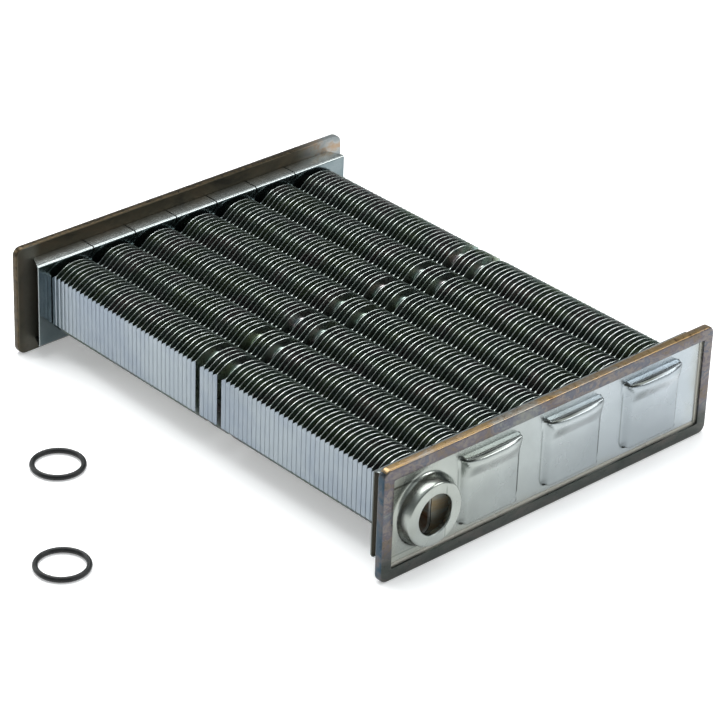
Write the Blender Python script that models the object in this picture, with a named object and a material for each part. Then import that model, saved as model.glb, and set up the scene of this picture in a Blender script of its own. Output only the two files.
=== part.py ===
"""Finned-tube heat exchanger of a gas boiler, with its two loose O-rings.

Frame: +X along the tubes towards the front header, +Z up. The origin lies on the plane that the
two header plates stand on, midway between them. The rear end is the front end turned half a turn
about Z. Lengths in this file are millimetres; every mesh is written in metres.
"""
import math

import bmesh
import bpy

MM = 0.001

# Driving dimensions
GAP = 0.3                                   # left between neighbouring pieces
HEADER_X = 150.0                            # outer plane of each header's rim
HEADER_HALF_WIDTH = 117.75
HEADER_HEIGHT = 65.0
HEADER_DEPTH = 4.8
CORNER_R = 4.8
LEAST_CORNER_R = 0.8
HEM_WIDTH = 7.0
HEM_PLAY = 0.1                              # between the two leaves of the folded hem
SHEET = 1.0                                 # header and cover sheet

TUBE_COUNT = 7
TUBE_PITCH = 29.3
TUBE_WIDTH = 12.0
TUBE_HEIGHT = 34.0
TUBE_WALL = 0.8
TUBE_END_X = 146.4
TUBE_Z = HEADER_HEIGHT / 2
OVAL_STEPS = 3                              # segments in each half-round end of a tube

PORT_RISE = 8.8                             # port face above the cover panel
PORT_SEGMENTS = 20
POCKET_HALF_WIDTH = 21.3
POCKET_SPACING = 2 * TUBE_PITCH

TRAY_X = 134.9                              # fin side of each end tray
TRAY_HALF_WIDTH = 111.0
TRAY_LOW_Z = 7.3
TRAY_HIGH_Z = 57.3
TRAY_SHEET = 0.8
FLANGE_MITRE = 4.0                          # how far a flange's free edge stops short of the face's side
SLIT_WIDTH = 0.8
SLIT_DEPTH = 3.8
SLIT_OVERRUN = 1.0                          # how far a slit's cutter stands out of the tray
BEND_EASE = 0.3                             # chamfer that stands for each bend's outer radius

FIN_PITCH = 3.5
FIN_THICKNESS = 0.4
FIN_PLACES = 76
FIN_GAPS = (35, 40)                         # places left without a fin
FINS_PER_PACK = 4
FIN_HALF_WIDTH = TUBE_PITCH * TUBE_COUNT / 2
FIN_CREST_Z = 55.0
FIN_VALLEY_Z = 48.4
FIN_LOW_CREST_Z = 10.5
FIN_LOW_VALLEY_Z = 16.8
FIN_SHOULDER = 6.4                          # half width of a lobe's crest
FIN_SHOULDER_DROP = 0.9                     # fall of the crest's edge from its middle to its shoulders
WALL_LOW_Z = 19.5
WALL_HIGH_Z = 49.8
WALL_DROP = 1.8                             # fall of a tab's top edge along its length
TAB_SHEET = 0.6
PACK_SET_BACK = 0.05                        # keeps a pack clear of the next pack's tab ends

RING_HOLE = 24.0
RING_CORD = 3.0
RING_PLACES = ((-39.0, -172.0), (38.0, -228.0))
RING_SEGMENTS = 24
CORD_SEGMENTS = 8
RING_SMOOTH_BELOW = 60                      # degrees
SMOOTH_BELOW = 35                           # degrees, on every other piece

PLATE_X = HEADER_X - HEADER_DEPTH           # fin side of the tube plate
PLATE_FRONT_X = PLATE_X + 1.2
HEM_BACK_X = HEADER_X - SHEET
PANEL_X = PLATE_FRONT_X + GAP + SHEET       # outer face of the cover's panel
BORDER_X = HEM_BACK_X - GAP                 # outer face of the cover's clamped border
BORDER_EDGE = SHEET + HEM_PLAY + GAP        # inset of the cover's outer edge
TUBE_YS = [TUBE_PITCH * (i - (TUBE_COUNT - 1) / 2) for i in range(TUBE_COUNT)]
PORT_Y = TUBE_YS[0]
POCKET_YS = [(TUBE_YS[i] + TUBE_YS[i + 1]) / 2 for i in (1, 3, 5)]

# Inset from the header's outline and X, from the fin side round the rim to the water side
PLATE_PROFILE = (
    (0.8, PLATE_X), (0.2, PLATE_X + 0.2), (0.0, PLATE_X + 0.8),
    (0.0, HEADER_X - 0.6), (0.2, HEADER_X - 0.2), (0.7, HEADER_X),
    (HEM_WIDTH - 0.3, HEADER_X), (HEM_WIDTH, HEADER_X - 0.3), (HEM_WIDTH, HEM_BACK_X),
    (SHEET + HEM_PLAY, HEM_BACK_X), (SHEET + HEM_PLAY, PLATE_FRONT_X),
)
# Inset from the header's outline and X, from the panel over the clamped border and back
COVER_PROFILE = (
    (7.4, PANEL_X), (6.2, BORDER_X), (BORDER_EDGE, BORDER_X),
    (BORDER_EDGE, BORDER_X - SHEET), (5.6, BORDER_X - SHEET), (6.8, PANEL_X - SHEET),
)
# Radius and height over the panel, from the panel up to the face, down the lip and back inside
PORT_PROFILE = (
    (22.0, 0.0), (20.6, 0.3), (19.6, 1.2), (18.7, 4.4), (17.9, 7.0), (17.2, 8.2), (16.2, PORT_RISE),
    (11.9, PORT_RISE), (11.2, 8.4), (11.05, 5.6),
    (12.0, 5.6), (12.0, 7.6), (15.9, 7.7), (16.9, 6.4), (17.9, 2.6), (18.9, 0.2), (20.6, -SHEET),
)
# Z, reach past the pocket's half width, rise of the pad and further rise of the nose at its top
POCKET_ROWS = (
    (11.8, -6.0, 0.0, 0.0), (12.1, -4.4, 1.9, 0.0), (12.9, -3.1, 3.1, 0.0), (15.0, -1.1, 3.5, 0.0),
    (18.5, 0.0, 3.6, 0.0), (39.5, 0.0, 3.6, 0.0), (43.5, 0.0, 3.6, 1.5), (47.5, -0.2, 3.6, 2.7),
    (50.4, -0.6, 3.4, 2.4), (51.9, -1.0, 2.6, 1.4), (52.4, -1.4, 0.0, 0.0),
)
POCKET_LOW_ROWS = 5                         # rows that form the pocket's lower wall
POCKET_HIGH_ROWS = 3                        # rows that form the ledge at its top
POCKET_WALL = 0.8                           # how much smaller the pocket is on the water side
# Distance in from the pocket's side, and the shares of the pad's and the nose's rise there
POCKET_SIDE = ((0.0, 0.0, 0.0), (1.0, 0.25, 0.0), (2.0, 0.85, 0.2), (3.4, 1.0, 0.45), (13.0, 1.0, 1.0))


def material(name, colour, metallic, roughness):
    made = bpy.data.materials.new(name)
    made.use_nodes = True
    shader = made.node_tree.nodes["Principled BSDF"]
    shader.inputs["Base Color"].default_value = (*colour, 1.0)
    shader.inputs["Metallic"].default_value = metallic
    shader.inputs["Roughness"].default_value = roughness
    return made


def add_object(name, mesh, finish, turned=False):
    """Puts a mesh in the scene under its own name; turned stands it at the rear end."""
    if not mesh.materials:
        mesh.materials.append(finish)
    made = bpy.data.objects.new(name, mesh)
    made.rotation_euler.z = math.pi if turned else 0.0
    bpy.context.scene.collection.objects.link(made)
    return made


def mesh_from(bm, name, smooth_below=SMOOTH_BELOW):
    bmesh.ops.recalc_face_normals(bm, faces=bm.faces)
    bmesh.ops.scale(bm, vec=(MM, MM, MM), verts=bm.verts)
    mesh = bpy.data.meshes.new(name)
    bm.to_mesh(mesh)
    bm.free()
    mesh.shade_smooth()
    mesh.set_sharp_from_angle(angle=math.radians(smooth_below))
    return mesh


def rounded_rect(half_y, low_z, high_z, radius, steps=3):
    """Outline in (y, z), anticlockwise, with a quarter circle at each corner."""
    middle = (low_z + high_z) / 2
    reach_y = half_y - radius
    reach_z = (high_z - low_z) / 2 - radius
    points = []
    for corner in range(4):
        side_y = 1 if corner in (0, 3) else -1
        side_z = 1 if corner in (0, 1) else -1
        for step in range(steps + 1):
            angle = math.radians(90 * (corner + step / steps))
            y = side_y * reach_y + radius * math.cos(angle)
            z = middle + side_z * reach_z + radius * math.sin(angle)
            points.append((y, z))
    return points


def tube_outline(centre_y, grow):
    """Upright flat-sided oval in (y, z), larger than the tube by grow on every side."""
    radius = TUBE_WIDTH / 2 + grow
    reach = (TUBE_HEIGHT - TUBE_WIDTH) / 2
    points = []
    for side in (1, -1):
        for step in range(OVAL_STEPS + 1):
            angle = math.pi * step / OVAL_STEPS + (0 if side == 1 else math.pi)
            y = centre_y + radius * math.cos(angle)
            z = TUBE_Z + side * reach + radius * math.sin(angle)
            points.append((y, z))
    return points


def loop_at(bm, points, x):
    return [bm.verts.new((x, y, z)) for y, z in points]


def bridge(bm, first, second):
    """Quads between two closed loops of equal length."""
    count = len(first)
    for i in range(count):
        j = (i + 1) % count
        bm.faces.new((first[i], first[j], second[j], second[i]))


def closed_edges(bm, loop):
    edges = []
    for i, vert in enumerate(loop):
        after = loop[(i + 1) % len(loop)]
        edges.append(bm.edges.get((vert, after)) or bm.edges.new((vert, after)))
    return edges


def fill(bm, outer, holes):
    """Flat face inside outer, with holes left open."""
    edges = closed_edges(bm, outer)
    for hole in holes:
        edges += closed_edges(bm, hole)
    bmesh.ops.triangle_fill(bm, edges=edges, use_beauty=True)


def header_outline(inset):
    radius = max(CORNER_R - inset, LEAST_CORNER_R)
    return rounded_rect(HEADER_HALF_WIDTH - inset, inset, HEADER_HEIGHT - inset, radius)


def bore_tube_holes(bm, x_from, x_to):
    """Walls of the seven tube holes of a sheet; gives the hole loops of its two faces."""
    near = [loop_at(bm, tube_outline(y, GAP), x_from) for y in TUBE_YS]
    far = [loop_at(bm, tube_outline(y, GAP), x_to) for y in TUBE_YS]
    for first, second in zip(near, far):
        bridge(bm, first, second)
    return near, far


def tube_plate_mesh():
    """Drawn tray with a flat base for the tubes and a hem folded in over the cover."""
    bm = bmesh.new()
    loops = [loop_at(bm, header_outline(inset), x) for inset, x in PLATE_PROFILE]
    for first, second in zip(loops, loops[1:]):
        bridge(bm, first, second)
    fin_side, water_side = bore_tube_holes(bm, PLATE_X, PLATE_FRONT_X)
    fill(bm, loops[0], fin_side)
    fill(bm, loops[-1], water_side)
    return mesh_from(bm, "tube_plate")


def pocket_patch(bm, centre_y, base_x, inset):
    """One drawn pocket as rows of equal Z; gives its edge loop on the panel."""
    rows = []
    high_row = len(POCKET_ROWS) - POCKET_HIGH_ROWS
    for number, (z, reach, pad, nose) in enumerate(POCKET_ROWS):
        lift = inset if number < POCKET_LOW_ROWS else 0.0
        lift = -inset if number >= high_row else lift
        half = POCKET_HALF_WIDTH + reach - inset
        left = []
        for back, pad_share, nose_share in POCKET_SIDE:
            left.append((-half + back, pad * pad_share + nose * nose_share))
        across = left + [(-y, rise) for y, rise in reversed(left)]
        rows.append([bm.verts.new((base_x + rise, centre_y + y, z + lift)) for y, rise in across])
    for low, high in zip(rows, rows[1:]):
        for i in range(len(low) - 1):
            bm.faces.new((low[i], low[i + 1], high[i + 1], high[i]))
    right = [row[-1] for row in rows[1:-1]]
    left = [row[0] for row in rows[1:-1]]
    return rows[0] + right + rows[-1][::-1] + left[::-1]


def port_loops(bm):
    """Turned walls of the water port; gives its edge loops on the panel's two faces."""
    loops = []
    for radius, rise in PORT_PROFILE:
        circle = []
        for step in range(PORT_SEGMENTS):
            angle = 2 * math.pi * step / PORT_SEGMENTS
            circle.append((PORT_Y + radius * math.cos(angle), TUBE_Z + radius * math.sin(angle)))
        loops.append(loop_at(bm, circle, PANEL_X + rise))
    for first, second in zip(loops, loops[1:]):
        bridge(bm, first, second)
    return loops[0], loops[-1]


def cover_mesh():
    """Pressed cover: clamped border, panel, three turn-round pockets and the water port."""
    bm = bmesh.new()
    loops = [loop_at(bm, header_outline(inset), x) for inset, x in COVER_PROFILE]
    for first, second in zip(loops, loops[1:]):
        bridge(bm, first, second)
    port_out, port_in = port_loops(bm)
    out_side = [pocket_patch(bm, y, PANEL_X, 0.0) for y in POCKET_YS]
    in_side = [pocket_patch(bm, y, PANEL_X - SHEET, POCKET_WALL) for y in POCKET_YS]
    fill(bm, loops[0], [port_out] + out_side)
    fill(bm, loops[-1], [port_in] + in_side)
    return mesh_from(bm, "cover")


def slit_cutter_mesh():
    """Boxes through the top and bottom bends of a tray, midway between the tubes."""
    bm = bmesh.new()
    low_x = TRAY_X - SLIT_OVERRUN
    high_x = PLATE_X + SLIT_OVERRUN
    top = (TRAY_HIGH_Z - SLIT_DEPTH, TRAY_HIGH_Z + SLIT_OVERRUN)
    bottom = (TRAY_LOW_Z - SLIT_OVERRUN, TRAY_LOW_Z + SLIT_DEPTH)
    for low_y, high_y in zip(TUBE_YS, TUBE_YS[1:]):
        y = (low_y + high_y) / 2
        for z_from, z_to in (top, bottom):
            box = bmesh.ops.create_cube(bm, size=1.0)["verts"]
            bmesh.ops.scale(bm, vec=(high_x - low_x, SLIT_WIDTH, z_to - z_from), verts=box)
            bmesh.ops.translate(bm, vec=((low_x + high_x) / 2, y, (z_from + z_to) / 2), verts=box)
    return mesh_from(bm, "slit_cutter")


def end_tray_mesh():
    """Folded channel over the tube ends: a face with a flange at its top and bottom, open at its sides."""
    bm = bmesh.new()
    open_x = PLATE_X - GAP
    inner_x = TRAY_X + TRAY_SHEET
    section = (
        (open_x, TRAY_LOW_Z), (TRAY_X + BEND_EASE, TRAY_LOW_Z), (TRAY_X, TRAY_LOW_Z + BEND_EASE),
        (TRAY_X, TRAY_HIGH_Z - BEND_EASE), (TRAY_X + BEND_EASE, TRAY_HIGH_Z), (open_x, TRAY_HIGH_Z),
        (open_x, TRAY_HIGH_Z - TRAY_SHEET), (inner_x, TRAY_HIGH_Z - TRAY_SHEET),
        (inner_x, TRAY_LOW_Z + TRAY_SHEET), (open_x, TRAY_LOW_Z + TRAY_SHEET),
    )
    ends = []
    for side in (-1, 1):
        reach = [TRAY_HALF_WIDTH - (FLANGE_MITRE if x == open_x else 0.0) for x, z in section]
        ends.append([bm.verts.new((x, side * y, z)) for (x, z), y in zip(section, reach)])
    low, high = ends
    fin_face = (2, 3)                       # numbers of the section's points at the face's ends
    plate_face = (7, 8)
    for i in range(len(section)):
        j = (i + 1) % len(section)
        if (i, j) not in (fin_face, plate_face):
            bm.faces.new((low[i], low[j], high[j], high[i]))
    for end in ends:
        bottom_flange = (0, 1, 8, 9)
        upright = (1, 2, 3, 4, 7, 8)
        top_flange = (4, 5, 6, 7)
        for corners in (bottom_flange, upright, top_flange):
            bm.faces.new([end[i] for i in corners])
    holes = bore_tube_holes(bm, TRAY_X, inner_x)
    for (first, second), face_holes in zip((fin_face, plate_face), holes):
        fill(bm, [low[first], low[second], high[second], high[first]], face_holes)
    return mesh_from(bm, "end_tray")


def tube_mesh(centre_y):
    bm = bmesh.new()
    outside = [loop_at(bm, tube_outline(centre_y, 0.0), x) for x in (-TUBE_END_X, TUBE_END_X)]
    inside = [loop_at(bm, tube_outline(centre_y, -TUBE_WALL), x) for x in (-TUBE_END_X, TUBE_END_X)]
    bridge(bm, outside[0], outside[1])
    bridge(bm, inside[0], inside[1])
    for outer, inner in zip(outside, inside):
        bridge(bm, outer, inner)
    return mesh_from(bm, "tube")


def fin_edges():
    """Top edge and bottom edge of a fin in (y, z), from -Y to +Y, without the outer corners."""
    top = []
    bottom = []
    half = TUBE_PITCH / 2
    for number, y in enumerate(TUBE_YS):
        if number:
            top.append((y - half, FIN_VALLEY_Z))
            bottom.append((y - half, FIN_LOW_VALLEY_Z))
        shoulder_z = FIN_CREST_Z - FIN_SHOULDER_DROP
        top += [(y - FIN_SHOULDER, shoulder_z), (y, FIN_CREST_Z), (y + FIN_SHOULDER, shoulder_z)]
        bottom += [(y - FIN_SHOULDER, FIN_LOW_CREST_Z), (y + FIN_SHOULDER, FIN_LOW_CREST_Z)]
    return top, bottom


def fin_pack_mesh(first_x, last_x, count):
    """A pack of neighbouring fins pressed into one plate, with its side tabs bent towards -X."""
    bm = bmesh.new()
    front_x = last_x + FIN_THICKNESS / 2 - PACK_SET_BACK
    back_x = front_x - count * FIN_THICKNESS
    tab_end_x = first_x - FIN_PITCH + GAP + FIN_THICKNESS / 2
    top, bottom = fin_edges()
    inner_y = FIN_HALF_WIDTH - TAB_SHEET

    def face_loop(x, side_y):
        right = [(side_y, WALL_LOW_Z), (side_y, WALL_HIGH_Z)]
        left = [(-side_y, WALL_HIGH_Z), (-side_y, WALL_LOW_Z)]
        return loop_at(bm, bottom + right + top[::-1] + left, x)

    front = face_loop(front_x, FIN_HALF_WIDTH)
    back = face_loop(back_x, inner_y)
    tab_corners = (len(bottom), len(bottom) + 2 + len(top))
    count_all = len(front)
    for i in range(count_all):
        if i not in tab_corners:
            j = (i + 1) % count_all
            bm.faces.new((front[i], front[j], back[j], back[i]))
    for corner in tab_corners:
        side = 1 if corner == tab_corners[0] else -1
        end_top = WALL_HIGH_Z - WALL_DROP
        low_high = ((WALL_LOW_Z, end_top), (end_top, WALL_LOW_Z))[side == -1]
        outer_end = [bm.verts.new((tab_end_x, side * FIN_HALF_WIDTH, z)) for z in low_high]
        inner_end = [bm.verts.new((tab_end_x, side * inner_y, z)) for z in low_high]
        first, second = corner, corner + 1
        bm.faces.new((front[first], front[second], outer_end[1], outer_end[0]))
        bm.faces.new((back[first], back[second], inner_end[1], inner_end[0]))
        bm.faces.new((front[first], outer_end[0], inner_end[0], back[first]))
        bm.faces.new((front[second], outer_end[1], inner_end[1], back[second]))
        bm.faces.new((outer_end[0], outer_end[1], inner_end[1], inner_end[0]))
    back_holes, front_holes = bore_tube_holes(bm, back_x, front_x)
    fill(bm, front, front_holes)
    fill(bm, back, back_holes)
    return mesh_from(bm, "fin_pack")


def fin_packs():
    """Name and fin positions of each pack, split where the row of fins is interrupted."""
    groups = {"rear": range(0, FIN_GAPS[0]), "centre": range(FIN_GAPS[0] + 1, FIN_GAPS[1])}
    groups["front"] = range(FIN_GAPS[1] + 1, FIN_PLACES)
    packs = []
    for group, places in groups.items():
        for number, start in enumerate(range(0, len(places), FINS_PER_PACK)):
            members = places[start:start + FINS_PER_PACK]
            xs = [FIN_PITCH * (place - (FIN_PLACES - 1) / 2) for place in members]
            name = "fin_pack_centre" if group == "centre" else f"fin_pack_{group}_{number + 1}"
            packs.append((name, xs))
    return packs


def o_ring_mesh():
    """Round ring lying flat with its lowest line on Z = 0, centred on its own origin."""
    bm = bmesh.new()
    middle = (RING_HOLE + RING_CORD) / 2
    loops = []
    for step in range(RING_SEGMENTS):
        turn = 2 * math.pi * step / RING_SEGMENTS
        loop = []
        for part in range(CORD_SEGMENTS):
            angle = 2 * math.pi * part / CORD_SEGMENTS
            reach = middle + RING_CORD / 2 * math.cos(angle)
            height = RING_CORD / 2 * (1 + math.sin(angle))
            loop.append(bm.verts.new((reach * math.cos(turn), reach * math.sin(turn), height)))
        loops.append(loop)
    for i, loop in enumerate(loops):
        bridge(bm, loop, loops[(i + 1) % RING_SEGMENTS])
    return mesh_from(bm, "o_ring", smooth_below=RING_SMOOTH_BELOW)


def add_header(end, turned, finishes, meshes):
    """Tube plate, cover and end tray of one end."""
    add_object(f"{end}_tube_plate", meshes["plate"], finishes["tinted_steel"], turned)
    add_object(f"{end}_cover", meshes["cover"], finishes["cover_steel"], turned)
    tray = add_object(f"{end}_end_tray", meshes["tray"], finishes["tray_steel"], turned)
    cutter = add_object(f"{end}_slit_cutter", meshes["cutter"], finishes["tray_steel"], turned)
    cutter.hide_render = True
    cutter.display_type = "WIRE"
    cut = tray.modifiers.new("slits", "BOOLEAN")
    cut.operation = "DIFFERENCE"
    cut.solver = "EXACT"
    cut.object = cutter


def main():
    for old in list(bpy.data.objects):
        bpy.data.objects.remove(old, do_unlink=True)
    finishes = {
        "tinted_steel": material("tinted_steel", (0.16, 0.12, 0.09), 1.0, 0.38),
        "cover_steel": material("cover_steel", (0.56, 0.60, 0.64), 1.0, 0.34),
        "tray_steel": material("tray_steel", (0.55, 0.56, 0.56), 1.0, 0.22),
        "tube_steel": material("tube_steel", (0.42, 0.41, 0.38), 1.0, 0.35),
        "fin_steel": material("fin_steel", (0.50, 0.53, 0.55), 1.0, 0.30),
        "seal_rubber": material("seal_rubber", (0.012, 0.012, 0.013), 0.0, 0.45),
    }
    meshes = {
        "plate": tube_plate_mesh(),
        "cover": cover_mesh(),
        "tray": end_tray_mesh(),
        "cutter": slit_cutter_mesh(),
    }
    add_header("front", False, finishes, meshes)
    add_header("rear", True, finishes, meshes)
    for number, y in enumerate(TUBE_YS):
        add_object(f"tube_{number + 1}", tube_mesh(y), finishes["tube_steel"])
    for name, xs in fin_packs():
        add_object(name, fin_pack_mesh(xs[0], xs[-1], len(xs)), finishes["fin_steel"])
    ring = o_ring_mesh()
    for number, (x, y) in enumerate(RING_PLACES):
        made = add_object(f"o_ring_{number + 1}", ring, finishes["seal_rubber"])
        made.location = (x * MM, y * MM, 0.0)


main()
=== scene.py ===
"""Looks of the finned-tube heat exchanger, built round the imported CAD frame.

Shapes are given in millimetres and written in metres. +X runs along the tubes towards the front
header, +Z is up, and the rear end is the front end turned half a turn about Z.
"""
import math

import bmesh
import bpy
import numpy as np
from mathutils import Matrix, Vector


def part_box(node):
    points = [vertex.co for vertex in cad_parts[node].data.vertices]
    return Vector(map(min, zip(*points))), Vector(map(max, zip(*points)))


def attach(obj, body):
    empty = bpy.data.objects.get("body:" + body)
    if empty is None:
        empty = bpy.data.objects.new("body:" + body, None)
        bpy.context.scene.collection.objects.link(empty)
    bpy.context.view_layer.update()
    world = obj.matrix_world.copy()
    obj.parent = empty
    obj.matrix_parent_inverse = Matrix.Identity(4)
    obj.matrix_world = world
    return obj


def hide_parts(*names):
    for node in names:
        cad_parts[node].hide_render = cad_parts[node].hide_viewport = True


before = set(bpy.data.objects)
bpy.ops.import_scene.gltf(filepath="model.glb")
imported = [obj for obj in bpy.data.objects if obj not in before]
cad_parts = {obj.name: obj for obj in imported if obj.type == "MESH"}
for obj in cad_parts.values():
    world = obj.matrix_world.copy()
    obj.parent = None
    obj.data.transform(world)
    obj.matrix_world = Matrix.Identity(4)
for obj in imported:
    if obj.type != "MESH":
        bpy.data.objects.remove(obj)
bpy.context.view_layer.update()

MM = 0.001
BODY = "exchanger"
SEED = 7
SHARP_ABOVE = 35                            # degrees between faces, unless a piece says otherwise

# Sizes shared with the CAD model
GAP = 0.3                                   # between neighbouring pieces
HEADER_X = 150.0
HEADER_HALF_WIDTH = 117.75
HEADER_HEIGHT = 65.0
CORNER_R = 4.8
LEAST_CORNER_R = 0.8
HEM_WIDTH = 7.0
HEM_PLAY = 0.1                              # between the two leaves of the folded hem
SHEET = 1.0
PLATE_X = 145.2
PLATE_FRONT_X = 146.4
HEM_BACK_X = HEADER_X - SHEET
PANEL_X = 147.7
BORDER_X = HEM_BACK_X - GAP
BORDER_EDGE = SHEET + HEM_PLAY + GAP        # inset of the cover's outer edge

TUBE_COUNT = 7
TUBE_PITCH = 29.3
TUBE_WIDTH = 12.0
TUBE_HEIGHT = 34.0
TUBE_WALL = 0.8
TUBE_END_X = 146.4
TUBE_Z = HEADER_HEIGHT / 2
TUBE_YS = [TUBE_PITCH * (i - (TUBE_COUNT - 1) / 2) for i in range(TUBE_COUNT)]
PORT_Y = TUBE_YS[0]
POCKET_YS = [(TUBE_YS[i] + TUBE_YS[i + 1]) / 2 for i in (1, 3, 5)]

TRAY_X = 134.9
TRAY_HALF_WIDTH = 111.0
TRAY_LOW_Z = 7.3
TRAY_HIGH_Z = 57.3
TRAY_SHEET = 0.8
TRAY_BEND = 1.3                             # outer radius of the folds
FLANGE_MITRE = 4.0                          # how much shorter a flange's free edge is at its ends
SLIT_WIDTH = 0.8
SLIT_DEPTH = 3.8

FIN_PITCH = 3.5
FIN_THICKNESS = 0.4
FIN_PLACES = 76
FIN_GAPS = (35, 40)                         # places left empty
FINS_PER_PACK = 4
FIN_HALF_WIDTH = TUBE_PITCH * TUBE_COUNT / 2
WALL_LOW_Z = 19.5                           # side wall that the tabs make up
WALL_HIGH_Z = 49.8
WALL_DROP = 1.8                             # how far each tab's top falls towards its free end

RING_HOLE = 24.0
RING_CORD = 3.0

# Raised pockets of the covers: a flat pad with a nose under a narrow ledge
POCKET_REACH_Y = 25.0
POCKET_LOW_Z = 9.6
POCKET_HIGH_Z = 54.4
PAD_HALF_WIDTH = 21.3
PAD_LOW_Z = 11.8
PAD_HIGH_Z = 52.4
PAD_CORNER_R = 6.0
PAD_TOP_CORNER_R = 2.5
PAD_RISE = 3.6
SIDE_RAMP = 4.2                             # widths of the pad's slopes
TOP_RAMP = 0.5
BOTTOM_RAMP = 1.3
RAMP_BLEND = 4.0                            # stretch over which one slope turns into the next
STRAIGHT_SHARE = 0.7                        # how much of a slope is straight, the rest being S-shaped
NOSE_LOW_Z = 40.4
NOSE_PEAK_Z = 47.5
NOSE_CREASE_Z = 50.4
NOSE_RISE = 2.7
NOSE_DROP = 0.7                             # fall from the nose's peak to its crease
NOSE_FLAT_Y = 5.0                           # half width of the nose's flat middle
NOSE_FADE_Y = 15.2                          # stretch over which it runs out at each side
NOSE_FULLNESS = 0.75
LEDGE_Z = 52.0
LEDGE_RISE = 2.0
LEDGE_FALL = 1.8
TOP_EDGE = 0.4                              # height of the slope over the ledge
INNER_DEPTH = 0.97                          # depth of the pocket's inside, as a share of its outside


# ---------------------------------------------------------------- mesh tools

def add_piece(name, verts, faces, looks, nodes, body=BODY, sharp=SHARP_ABOVE, face_looks=None):
    """Makes a mesh piece from points in millimetres and ties it to the frame."""
    mesh = bpy.data.meshes.new(name)
    points = np.asarray(verts, dtype=np.float64) * MM
    mesh.from_pydata(points.tolist(), [], faces)
    for look in looks:
        mesh.materials.append(look)
    if face_looks is not None:
        mesh.polygons.foreach_set("material_index", face_looks)
    bm = bmesh.new()
    bm.from_mesh(mesh)
    bmesh.ops.recalc_face_normals(bm, faces=bm.faces)
    bm.to_mesh(mesh)
    bm.free()
    mesh.shade_smooth()
    mesh.set_sharp_from_angle(angle=math.radians(sharp))
    piece = bpy.data.objects.new(name, mesh)
    bpy.context.scene.collection.objects.link(piece)
    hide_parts(*nodes)
    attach(piece, body)
    return piece


def turned(verts):
    """The same points at the rear end."""
    return np.asarray(verts, dtype=np.float64) * (-1, -1, 1)


def arc(centre, radius, start, stop, steps):
    """Points of an arc; angles in degrees."""
    points = []
    for step in range(steps + 1):
        angle = math.radians(start + (stop - start) * step / steps)
        points.append((centre[0] + radius * math.cos(angle), centre[1] + radius * math.sin(angle)))
    return points


def rounded_rect(half_y, low_z, high_z, radius, steps=6):
    """Outline in (y, z), anticlockwise."""
    reach_y = half_y - radius
    corners = ((reach_y, high_z - radius, 0), (-reach_y, high_z - radius, 90),
               (-reach_y, low_z + radius, 180), (reach_y, low_z + radius, 270))
    points = []
    for y, z, start in corners:
        points += arc((y, z), radius, start, start + 90, steps)
    return points


def oval(centre_y, half_width, half_height, steps=10):
    """Flat-sided upright oval in (y, z), anticlockwise."""
    reach = half_height - half_width
    return arc((centre_y, TUBE_Z + reach), half_width, 0, 180, steps) + \
        arc((centre_y, TUBE_Z - reach), half_width, 180, 360, steps)


class Solid:
    """Collects points and faces; loops are lists of point numbers."""

    def __init__(self):
        self.verts = []
        self.faces = []

    def loop(self, points):
        first = len(self.verts)
        self.verts += [tuple(p) for p in points]
        return list(range(first, len(self.verts)))

    def bridge(self, first, second, closed=True):
        count = len(first)
        for i in range(count if closed else count - 1):
            j = (i + 1) % count
            self.faces.append((first[i], first[j], second[j], second[i]))

    def strip(self, first, second):
        """Faces between two open rows of points."""
        self.bridge(first, second, closed=False)

    def fill(self, outer, holes=()):
        """Flat face inside a loop, with holes."""
        bm = bmesh.new()
        made = {}
        edges = []
        for loop in [outer, *holes]:
            for number in loop:
                made[number] = bm.verts.new(self.verts[number])
            for i, number in enumerate(loop):
                edges.append(bm.edges.new((made[number], made[loop[(i + 1) % len(loop)]])))
        bmesh.ops.triangle_fill(bm, edges=edges, use_beauty=True)
        back = {vert: number for number, vert in made.items()}
        for face in bm.faces:
            self.faces.append(tuple(back[vert] for vert in face.verts))
        bm.free()


def at_x(points, x):
    return [(x, y, z) for y, z in points]


# ---------------------------------------------------------------- materials

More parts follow.
